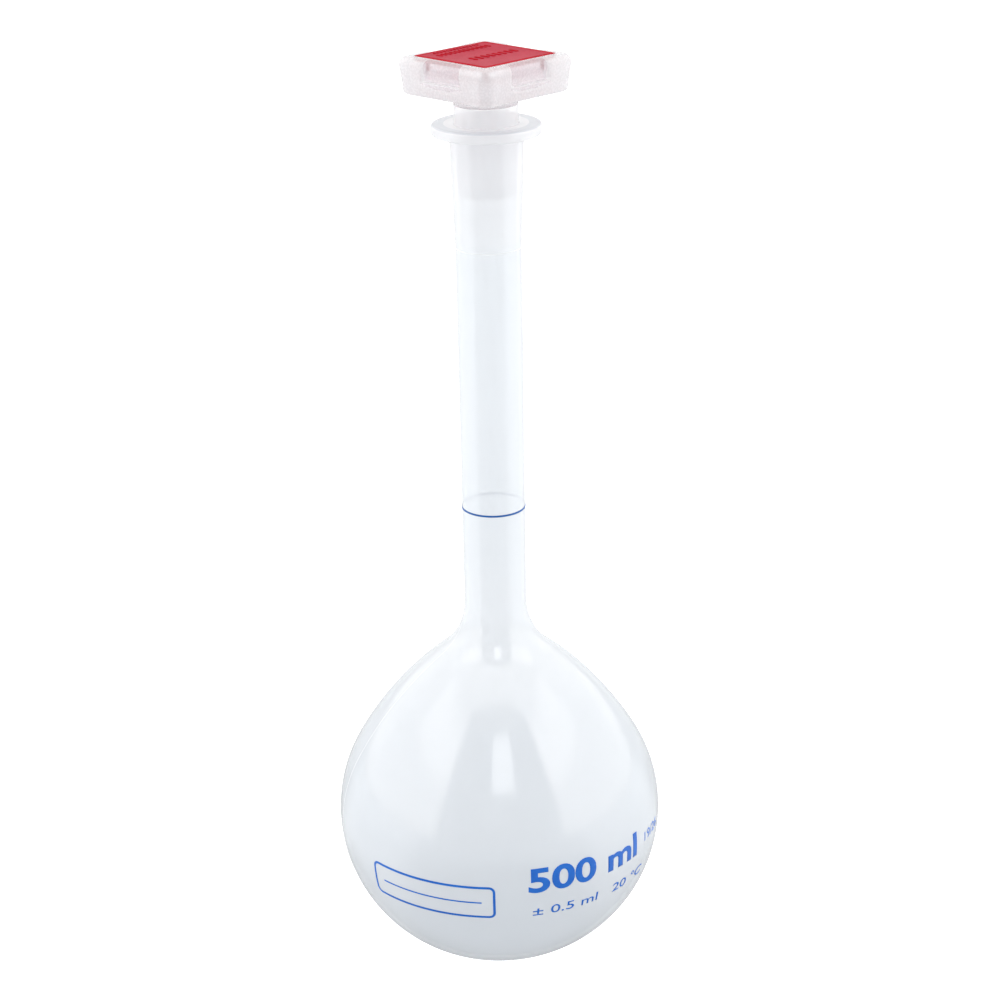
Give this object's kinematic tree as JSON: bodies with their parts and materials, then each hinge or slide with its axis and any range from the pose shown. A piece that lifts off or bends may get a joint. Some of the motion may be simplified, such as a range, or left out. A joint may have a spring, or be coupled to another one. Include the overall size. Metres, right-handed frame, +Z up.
{
  "type": "volumetric flask",
  "caption": "Round-bottomed translucent plastic volumetric flask with a long neck, ring mark, flange and a lift-off taper stopper with a square grip.",
  "frame": {"origin": "centre of the foot, on the surface that the flask stands on", "axes": "+Z up the neck, which is the axis of the bulb, neck and stopper; the print on the bulb faces -Y, with +X to its right"},
  "size_m": [0.1012, 0.1012, 0.2788],
  "materials": {
    "flask_plastic": "translucent natural polypropylene, satin gloss",
    "stopper_plastic": "translucent natural polypropylene, satin gloss",
    "grip_plastic": "translucent natural polypropylene, fine matt",
    "plate_plastic": "opaque red, satin gloss",
    "ring_ink": "thin printed ink",
    "print_ink": "thin printed ink"
  },
  "bodies": {
    "flask": {"flask_body": "flask_plastic", "ring_mark": "ring_ink", "capacity_print": "print_ink", "tolerance_print": "print_ink", "joint_print": "print_ink", "write_on_panel": "print_ink"},
    "stopper": {"stopper_plug": "stopper_plastic"},
    "grip": {"stopper_grip": "grip_plastic", "stopper_plate": "plate_plastic"}
  },
  "joints": [
    {"name": "stopper_lift", "type": "slide", "parent": "flask", "child": "stopper", "axis": [0, 0, 1], "range_m": [0, 0.07]},
    {"name": "stopper_turn", "type": "hinge", "parent": "stopper", "child": "grip", "pos_m": [0, 0, 0.27], "axis": [0, 0, 1], "continuous": true}
  ]
}
